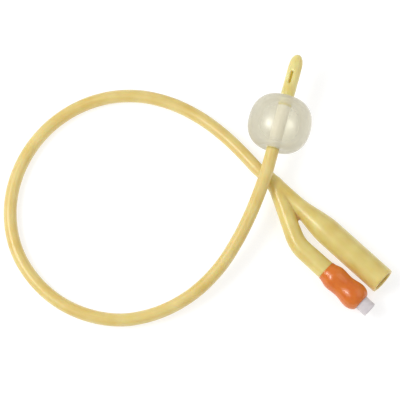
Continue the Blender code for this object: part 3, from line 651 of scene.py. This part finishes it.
def make_balloon():
    """The filled membrane: two skins a wall apart, that meet in a cuff turned in at each neck.

    The outer skin is the bulb's height at each radius, above and below the middle. One map is 1 on the cuffs,
    where the film is bonded to the shaft and doesn't show, and one is 1 on the inner skin.
    """
    turn = np.linspace(0.0, math.pi / 2, BULB_POINTS)
    radius = NECK_RADIUS + (BALLOON_RADIUS - NECK_RADIUS) * np.sin(turn)
    upper = np.stack((radius, bulb_height(radius)), axis=1)
    skin = np.vstack((upper, upper[-2::-1] * (1, -1)))
    heading = np.gradient(skin, axis=0)
    heading /= np.linalg.norm(heading, axis=1, keepdims=True)
    inner = skin - np.stack((-heading[:, 1], heading[:, 0]), axis=1) * BALLOON_WALL
    cuff = NECK_RADIUS + BALLOON_WALL
    inner = inner[inner[:, 0] > cuff + INNER_SKIN_START]
    foot = bulb_height(np.array(NECK_RADIUS)) - CUFF_LENGTH
    run = np.linspace(0.0, 1.0, CUFF_POINTS)[:, None]
    neck_top = np.array((cuff, foot + CUFF_LENGTH - BALLOON_WALL))
    cuff_outer = np.array((cuff, foot)) + run * (neck_top - (cuff, foot))
    cuff_inner = np.array((NECK_RADIUS, foot)) + run[:-1] * (0.0, CUFF_LENGTH)
    profile = np.vstack((skin, cuff_inner[::-1] * (1, -1), cuff_outer * (1, -1), inner[::-1],
                         cuff_outer[::-1], cuff_inner))
    mesh = turned_mesh("balloon_membrane", profile, BALLOON_CENTRE, TIP_ALONG)
    cuff_rows = len(cuff_inner) + len(cuff_outer)
    rows = (len(skin), cuff_rows, len(inner), cuff_rows)
    bonded, wet_side = (np.repeat(np.repeat(by_part, rows), TURNED_SIDES)
                        for by_part in ((0.0, 1.0, 0.0, 1.0), (0.0, 0.0, 1.0, 0.0)))
    paint(mesh, bonded=bonded, wet_side=wet_side)
    balloon = make_piece("balloon_membrane", mesh, "catheter", "balloon")
    # so thin a film scatters its light forward, and so dims nothing behind it
    balloon.visible_shadow = False
    return balloon


def make_sleeve():
    """Orange sleeve, turned: two soft bulges and a rounded nose outside, stepped inside round arm and valve.

    Its side is eased between the lip, the bulges and the waist. Its nose is part of an oval about a base
    radius, from the second bulge to the nose's end.
    """
    nose_start, nose_radius = SLEEVE_SECOND_BULGE
    places = np.linspace(SLEEVE_LIP_ROUND, nose_start, SLEEVE_SIDE_POINTS)
    stations = ((0.0, SLEEVE_LIP_RADIUS), SLEEVE_FIRST_BULGE, SLEEVE_WAIST, SLEEVE_SECOND_BULGE)
    side = np.stack((eased(stations, places), places), axis=1)
    nose_height = nose_radius - SLEEVE_NOSE_BASE
    last_turn = math.acos((SLEEVE_NOSE_END - SLEEVE_NOSE_BASE) / nose_height)
    turn = np.linspace(0.0, last_turn, SLEEVE_NOSE_POINTS)[1:]
    nose = np.stack((SLEEVE_NOSE_BASE + nose_height * np.cos(turn),
                     nose_start + (SLEEVE_LENGTH - nose_start) * np.sin(turn) / math.sin(last_turn)), axis=1)
    lip_turn = np.linspace(0.0, math.pi / 2, SLEEVE_LIP_POINTS)[:-1]
    lip = np.stack((SLEEVE_LIP_RADIUS - SLEEVE_LIP_ROUND + SLEEVE_LIP_ROUND * np.sin(lip_turn),
                    SLEEVE_LIP_ROUND * (1 - np.cos(lip_turn))), axis=1)
    neck = VALVE_RADIUS + SLEEVE_NECK_GAP
    grip = ARM_END_RADIUS + SLEEVE_NECK_GAP
    room = VALVE_FLANGE[2] + SLEEVE_NECK_GAP
    step = VALVE_FLANGE[1] + SLEEVE_NECK_GAP
    inside = np.array(((neck + NECK_CHAMFER, SLEEVE_LENGTH + SLEEVE_NOSE_LAND),
                       (neck, SLEEVE_LENGTH - CHAMFER_DEPTH), (neck, step), (room, step),
                       (room, ARM_GRIP_LENGTH), (grip, ARM_GRIP_LENGTH), (grip, CHAMFER_DEPTH),
                       (grip + GRIP_CHAMFER, 0.0)))
    mesh = turned_mesh("orange_sleeve", np.vstack((lip, side, nose, inside)), VALVE_START, ALONG_X)
    return make_piece("orange_sleeve", mesh, "catheter", "valve_sleeve")


def make_valve():
    """White housing, turned: a luer socket with a soft rim, seat and spring chamber, flange and barbed tail.

    Its profile is a chain of straight lines with rounded corners.
    """
    floor = VALVE_END - LUER_DEPTH
    seat = floor - SEAT_THICKNESS
    tail = seat - CHAMBER_LENGTH
    flange_start, flange_end, flange = VALVE_FLANGE
    corners = [(TAIL_RADIUS, tail, FLANGE_ROUND)]
    for foot in (tail, tail + BARB_LENGTH):
        corners += [
            (TAIL_RADIUS, foot + BARB_FOOT, VALVE_EDGE_ROUND),
            (TAIL_RADIUS + BARB_HEIGHT, foot + BARB_LENGTH, BARB_ROUND),
            (TAIL_RADIUS, foot + BARB_LENGTH + BARB_FACE, BARB_ROUND),
        ]
    corners += [
        (TAIL_RADIUS, flange_start, VALVE_EDGE_ROUND), (flange, flange_start, FLANGE_ROUND),
        (flange, flange_end, FLANGE_ROUND), (VALVE_RADIUS, flange_end, VALVE_EDGE_ROUND),
        (VALVE_RADIUS, VALVE_END, VALVE_RIM_ROUND), (LUER_MOUTH_RADIUS, VALVE_END, LUER_MOUTH_ROUND),
        (LUER_FLOOR_RADIUS, floor, VALVE_EDGE_ROUND), (SEAT_HOLE_RADIUS, floor, VALVE_EDGE_ROUND),
        (SEAT_HOLE_RADIUS, seat, VALVE_EDGE_ROUND), (CHAMBER_RADIUS, seat, VALVE_EDGE_ROUND),
        (CHAMBER_RADIUS, tail, VALVE_EDGE_ROUND),
    ]
    mesh = turned_mesh("valve_housing", rounded(corners), VALVE_START, ALONG_X)
    return make_piece("valve_housing", mesh, "catheter", "valve_body")


def make_spring():
    """Compression spring: a circle of wire carried along a helix."""
    low, high = (Vector(corner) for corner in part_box("valve_spring"))
    share = np.linspace(0.0, 1.0, SPRING_TURNS * SPRING_TURN_STEPS + 1)[:, None]
    turn = 2 * math.pi * SPRING_TURNS * share
    right, up = axis_frame(ALONG_X)
    spoke = np.cos(turn) * up + np.sin(turn) * right
    run = high.x - low.x - 2 * SPRING_WIRE_RADIUS
    start = np.array((low.x + SPRING_WIRE_RADIUS, VALVE_START[1], VALVE_START[2]))
    coil = start + run * share * ALONG_X + SPRING_RADIUS * spoke
    heading = np.gradient(coil, axis=0)
    heading /= np.linalg.norm(heading, axis=1, keepdims=True)
    out = np.cross(heading, spoke)
    around = np.linspace(0.0, 2 * math.pi, WIRE_SIDES, endpoint=False)[None, :, None]
    ring = np.cos(around) * spoke[:, None] + np.sin(around) * out[:, None]
    mesh = grid_mesh("coil_spring", coil[:, None] + SPRING_WIRE_RADIUS * ring)
    spring = make_piece("coil_spring", mesh, "catheter", "valve_spring")
    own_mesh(spring)
    return spring


def node(tree, kind, inputs=None, **settings):
    """Adds a shader node with its settings; each input gets a value or a link from another node's output."""
    made = tree.nodes.new("ShaderNode" + kind)
    for name, value in settings.items():
        setattr(made, name, value)
    for name, value in (inputs or {}).items():
        if isinstance(value, bpy.types.NodeSocket):
            tree.links.new(value, made.inputs[name])
        else:
            made.inputs[name].default_value = value
    return made


def linear(hex_colour):
    """Linear colour of an sRGB hex value, by the sRGB curve."""
    screen = [int(hex_colour[i:i + 2], 16) / 255 for i in (1, 3, 5)]
    return (*(((c + 0.055) / 1.055) ** 2.4 if c > 0.04045 else c / 12.92 for c in screen), 1.0)


def shades(tree, share, pale, deep):
    """Colour that runs evenly between two stops, each a share and a hex colour."""
    ramp = node(tree, "ValToRGB", {"Fac": share})
    for element, (place, colour) in zip(ramp.color_ramp.elements, (pale, deep)):
        element.position = place
        element.color = linear(colour)
    return ramp.outputs["Color"]


def surface(name, shader_inputs):
    """A material with one Principled shader, returned with its node tree and the shader."""
    made = bpy.data.materials.new(name)
    made.use_nodes = True
    tree = made.node_tree
    shader = tree.nodes["Principled BSDF"]
    for socket, value in shader_inputs.items():
        shader.inputs[socket].default_value = value
    return made, tree, shader


def mottled(tree, shader, size, pale, deep, detail=2.0):
    """Base colour that drifts from pale to deep in blotches of a size, returned with the drift itself."""
    place = node(tree, "TexCoord").outputs["Object"]
    drift = node(tree, "TexNoise", {"Vector": place, "Scale": 1 / size, "Detail": detail}).outputs["Fac"]
    colour = shades(tree, drift, pale, deep)
    tree.links.new(colour, shader.inputs["Base Color"])
    return colour, drift


def grained(tree, shader, size, depth, strength, detail=1.0):
    """Fine relief with grains of a size and a depth, which bends the shader's gloss by its strength."""
    place = node(tree, "TexCoord").outputs["Object"]
    relief = node(tree, "TexNoise", {"Vector": place, "Scale": 1 / size, "Detail": detail}).outputs["Fac"]
    bump = node(tree, "Bump", {"Height": relief, "Distance": depth, "Strength": strength})
    tree.links.new(bump.outputs["Normal"], shader.inputs["Normal"])


def dipped_latex(name, pale, warm, streaked=False):
    """Natural rubber latex, dipped and siliconed.

    It lets light into its skin, its honey colour drifts over a few millimetres with the dip's thickness, and
    it has a soft gloss on a slightly rippled skin. On the tube the drift is drawn out along its length.
    """
    made, tree, shader = surface(name, {
        "Roughness": 0.36, "IOR": 1.5, "Subsurface Weight": 0.5, "Subsurface Radius": (1.0, 0.6, 0.2),
        "Subsurface Scale": 0.0016, "Coat Weight": 0.4, "Coat Roughness": 0.16, "Coat IOR": 1.4,
    })
    where = node(tree, "TexCoord")
    drift = node(tree, "TexNoise", {"Vector": where.outputs["Object"], "Scale": 1 / DIP_DRIFT, "Detail": 2.0,
                                    "Roughness": 0.45})
    body = drift.outputs["Fac"]
    if streaked:
        drawn_out = node(tree, "Mapping", {"Vector": where.outputs["UV"],
                                           "Scale": (1 / STREAK_LENGTH, STREAKS_ROUND, 1.0)})
        streaks = node(tree, "TexNoise", {"Vector": drawn_out.outputs["Vector"], "Scale": 1.0, "Detail": 2.0})
        mixed = node(tree, "Mix", {"Factor": STREAK_SHARE, "A": body, "B": streaks.outputs["Fac"]},
                     data_type="FLOAT")
        body = mixed.outputs["Result"]
    tree.links.new(shades(tree, body, (0.32, pale), (0.68, warm)), shader.inputs["Base Color"])
    grained(tree, shader, DIP_RIPPLE, depth=0.000012, strength=0.35, detail=2.0)
    return made, tree, shader


def pooled_latex():
    """The Y end's latex, browner in the crotch, where it ran together and dried thick and where shade is
    painted into the crease.
    """
    made, tree, shader = dipped_latex("latex_dipped_y_end", "#E4D384", "#DAC26C")
    coats = shader.inputs["Base Color"].links[0].from_socket
    pool = node(tree, "Attribute", attribute_name="pooled").outputs["Fac"]
    # the crotch's brown: pooled latex, and painted shade in the crease
    mixed = node(tree, "Mix", {"Factor": pool, "A": coats, "B": linear("#B07A28")}, data_type="RGBA")
    tree.links.new(mixed.outputs["Result"], shader.inputs["Base Color"])
    return made


def tip_latex():
    """The shaft's latex, but pale and milky where the last dip coats don't reach, inside the balloon.

    In the eyes and the bore it shows the uncoated latex, which light soaks through to a warm cream.
    """
    made, tree, shader = dipped_latex("latex_dipped_tip", "#E9DD98", "#DFCA78")
    shader.inputs["Subsurface Scale"].default_value = 0.003
    shader.inputs["Subsurface Radius"].default_value = (1.0, 0.8, 0.45)
    coats = shader.inputs["Base Color"].links[0].from_socket
    bare = node(tree, "Attribute", attribute_name="undipped").outputs["Fac"]
    soaking = node(tree, "MapRange", {"Value": bare, "To Min": 0.8, "To Max": 0.0})
    tree.links.new(soaking.outputs["Result"], shader.inputs["Subsurface Weight"])
    mixed = node(tree, "Mix", {"Factor": bare, "A": coats, "B": linear("#FFFAEC")}, data_type="RGBA")
    bore = node(tree, "Attribute", attribute_name="bore").outputs["Fac"]
    all_over = node(tree, "Mix", {"Factor": bore, "A": mixed.outputs["Result"], "B": linear("#FFE9A8")},
                    data_type="RGBA")
    tree.links.new(all_over.outputs["Result"], shader.inputs["Base Color"])
    return made


def balloon_latex():
    """Thin dipped latex, blown up: a see-through film that tints what lies behind it a milky straw grey.

    A small share of it scatters light, more where the film is seen at a slant and so through more of it. Most
    of that share lets the light on through, so the side away from the lamp glows. Its gloss is the share of
    light that a smooth rubber face sends back: little square on, more at a slant.
    """
    made, tree, shader = surface("latex_balloon_film", {"Roughness": 0.4, "IOR": 1.5})
    colour, cloud = mottled(tree, shader, FILM_CLOUD, (0.3, "#EEECE6"), (0.7, "#E2DFD8"), detail=3.0)
    glow = node(tree, "BsdfTranslucent", {"Color": colour})
    milk = node(tree, "MixShader", {0: MILK_THROUGH, 1: shader.outputs["BSDF"], 2: glow.outputs["BSDF"]})
    wet_side = node(tree, "Attribute", attribute_name="wet_side").outputs["Fac"]
    skin = {}
    for name, (outer, inner) in FILM_SKINS.items():
        by_skin = node(tree, "MapRange", {"Value": wet_side, "To Min": outer, "To Max": inner})
        skin[name] = by_skin.outputs["Result"]
    slant = node(tree, "LayerWeight", {"Blend": 0.5}).outputs["Facing"]
    square_on = node(tree, "MapRange", {"Value": cloud, "From Min": 0.3, "From Max": 0.7,
                                        "To Min": FILM_COVER[0], "To Max": FILM_COVER[1]})
    longer_way = node(tree, "MapRange", {"Value": slant, "From Min": FILM_SLANTS[0],
                                         "From Max": FILM_SLANTS[1], "To Max": skin["cover_at_slant"]})
    cover = node(tree, "Math", {0: square_on.outputs["Result"], 1: longer_way.outputs["Result"]},
                 operation="ADD", use_clamp=True)
    bonded = node(tree, "Attribute", attribute_name="bonded").outputs["Fac"]
    free = node(tree, "Math", {0: 1.0, 1: bonded}, operation="SUBTRACT")
    free_cover = node(tree, "Math", {0: cover.outputs["Value"], 1: free.outputs["Value"]},
                      operation="MULTIPLY")
    tint = node(tree, "Mix", {"Factor": bonded, "A": linear("#F4F3EC"), "B": linear("#FFFFFF")},
                data_type="RGBA")
    clear = node(tree, "BsdfTransparent", {"Color": tint.outputs["Result"]})
    film = node(tree, "MixShader", {0: free_cover.outputs["Value"], 1: clear.outputs["BSDF"],
                                    2: milk.outputs["Shader"]})
    steep = node(tree, "Math", {0: slant, 1: GLOSS_POWER}, operation="POWER")
    sent_back = node(tree, "MapRange", {"Value": steep.outputs["Value"], "To Min": skin["gloss_square_on"],
                                        "To Max": skin["gloss_at_slant"]})
    gloss = node(tree, "BsdfAnisotropic", {"Color": linear("#FFFFFF"), "Roughness": skin["gloss_roughness"]})
    whole = node(tree, "MixShader", {0: sent_back.outputs["Result"], 1: film.outputs["Shader"],
                                     2: gloss.outputs["BSDF"]})
    tree.links.new(whole.outputs["Shader"], tree.nodes["Material Output"].inputs["Surface"])
    return made


def orange_vinyl():
    """Soft PVC, injection moulded in a polished mould: full orange, glossy, with a faint flow drift."""
    made, tree, shader = surface("vinyl_moulded_orange", {
        "Roughness": 0.14, "IOR": 1.52, "Subsurface Weight": 0.12, "Subsurface Radius": (1.0, 0.35, 0.15),
        "Subsurface Scale": 0.0006,
    })
    mottled(tree, shader, VINYL_FLOW, (0.3, "#E07C2A"), (0.7, "#D66C20"))
    grained(tree, shader, VINYL_ORANGE_PEEL, depth=0.000003, strength=0.15)
    return made


def white_polypropylene():
    """Polypropylene, injection moulded: a cool, slightly waxy white with a fine spark-eroded grain."""
    made, tree, shader = surface("polypropylene_moulded_white", {
        "Roughness": 0.38, "IOR": 1.49, "Subsurface Weight": 0.25, "Subsurface Radius": (1.0, 1.0, 1.0),
        "Subsurface Scale": 0.0008,
    })
    mottled(tree, shader, POLYPROPYLENE_CLOUD, (0.3, "#DED8DA"), (0.7, "#D4CDD0"))
    grained(tree, shader, SPARK_GRAIN, depth=0.00001, strength=0.3)
    return made


def black_rubber():
    """Nitrile rubber, moulded: matt near-black with a fine dusty bloom."""
    made, tree, shader = surface("nitrile_moulded_black", {"Roughness": 0.6, "IOR": 1.52})
    mottled(tree, shader, RUBBER_BLOOM, (0.35, "#262524"), (0.7, "#3A3836"), detail=3.0)
    return made


def spring_steel():
    """Stainless spring wire, drawn: bright metal, duller along faint die lines."""
    made, tree, shader = surface("stainless_wire_drawn", {"Metallic": 1.0})
    _, lines = mottled(tree, shader, DIE_LINE, (0.3, "#C9CBCE"), (0.7, "#AEB1B5"))
    gloss = node(tree, "MapRange", {"Value": lines, "To Min": 0.2, "To Max": 0.36})
    tree.links.new(gloss.outputs["Result"], shader.inputs["Roughness"])
    return made


def wear(obj, look):
    """Gives an object one material in place of what it has."""
    obj.data.materials.clear()
    obj.data.materials.append(look)


def softbox(name, direction, upright, distance, width, height, radiance):
    """A rectangular lamp that faces the target, its height along the upright direction.

    Its power comes from the brightness that it should show.
    """
    lamp = bpy.data.lights.new(name, "AREA")
    lamp.shape = "RECTANGLE"
    lamp.size = width
    lamp.size_y = height
    lamp.energy = math.pi * width * height * radiance
    box = bpy.data.objects.new(name, lamp)
    back = direction.normalized()
    side = upright.cross(back).normalized()
    box.location = VIEW_TARGET + back * distance
    box.rotation_euler = Matrix((side, back.cross(side), back)).transposed().to_euler()
    bpy.context.scene.collection.objects.link(box)


def make_camera():
    """Long lens, high over the surface, on the photograph's side; returns the direction back to it."""
    away = Vector((math.sin(VIEW_AZIMUTH) * math.cos(VIEW_ELEVATION),
                   -math.cos(VIEW_AZIMUTH) * math.cos(VIEW_ELEVATION), math.sin(VIEW_ELEVATION)))
    data = bpy.data.cameras.new("camera")
    data.lens = LENS_MM
    data.sensor_width = SENSOR_MM
    camera = bpy.data.objects.new("camera", data)
    camera.location = VIEW_TARGET + away * VIEW_DISTANCE
    camera.rotation_euler = away.to_track_quat("Z", "Y").to_euler()
    bpy.context.scene.collection.objects.link(camera)
    bpy.context.scene.camera = camera
    return away


def make_studio(away):
    """White table and white room, lit by two softboxes.

    A tall one with a hot middle stands to the left of the lens, and a weak one to its right.
    """
    table = bpy.data.meshes.new("table")
    corners = [(-TABLE_HALF, -TABLE_HALF, 0.0), (TABLE_HALF, -TABLE_HALF, 0.0), (TABLE_HALF, TABLE_HALF, 0.0),
               (-TABLE_HALF, TABLE_HALF, 0.0)]
    table.from_pydata(corners, [], [(0, 1, 2, 3)])
    floor = bpy.data.objects.new("table", table)
    bpy.context.scene.collection.objects.link(floor)
    wear(floor, surface("table_white", {
        "Base Color": (TABLE_SHADE, TABLE_SHADE, TABLE_SHADE, 1.0), "Roughness": TABLE_ROUGHNESS,
        "Emission Color": (1.0, 1.0, 1.0, 1.0), "Emission Strength": TABLE_GLOW,
    })[0])
    room = bpy.data.worlds.new("room")
    room.use_nodes = True
    room.node_tree.nodes["Background"].inputs["Color"].default_value = (1.0, 1.0, 1.0, 1.0)
    room.node_tree.nodes["Background"].inputs["Strength"].default_value = ROOM_LIGHT
    bpy.context.scene.world = room
    bpy.context.scene.view_settings.view_transform = "Standard"
    right = Vector((math.cos(VIEW_AZIMUTH), math.sin(VIEW_AZIMUTH), 0.0))
    up = away.cross(right)
    key = away * math.cos(KEY_SWING) - right * math.sin(KEY_SWING) + up * math.sin(KEY_LIFT)
    softbox("key_softbox", key, up, LAMP_DISTANCE, *KEY_SIZE, KEY_RADIANCE)
    softbox("key_softbox_middle", key, up, LAMP_DISTANCE - CORE_LEAD, *CORE_SIZE, CORE_RADIANCE)
    fill = away * math.cos(FILL_SWING) + right * math.sin(FILL_SWING) + up * math.sin(FILL_LIFT)
    softbox("fill_softbox", fill, up, LAMP_DISTANCE, *FILL_SIZE, FILL_RADIANCE)


view_direction = make_camera()
shaft = make_shaft()
y_end = make_y_end()
tip = make_tip()
balloon = make_balloon()
sleeve = make_sleeve()
valve = make_valve()
spring = make_spring()

wear(shaft, dipped_latex("latex_dipped_shaft", "#E6D38C", "#DCC06C", streaked=True)[0])
wear(y_end, pooled_latex())
wear(tip, tip_latex())
wear(balloon, balloon_latex())
wear(sleeve, orange_vinyl())
white = white_polypropylene()
wear(valve, white)
wear(spring, spring_steel())
for part_name, look in (("valve_plunger", white), ("valve_retainer", white), ("valve_seal", black_rubber())):
    wear(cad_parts[part_name], look)

make_studio(view_direction)
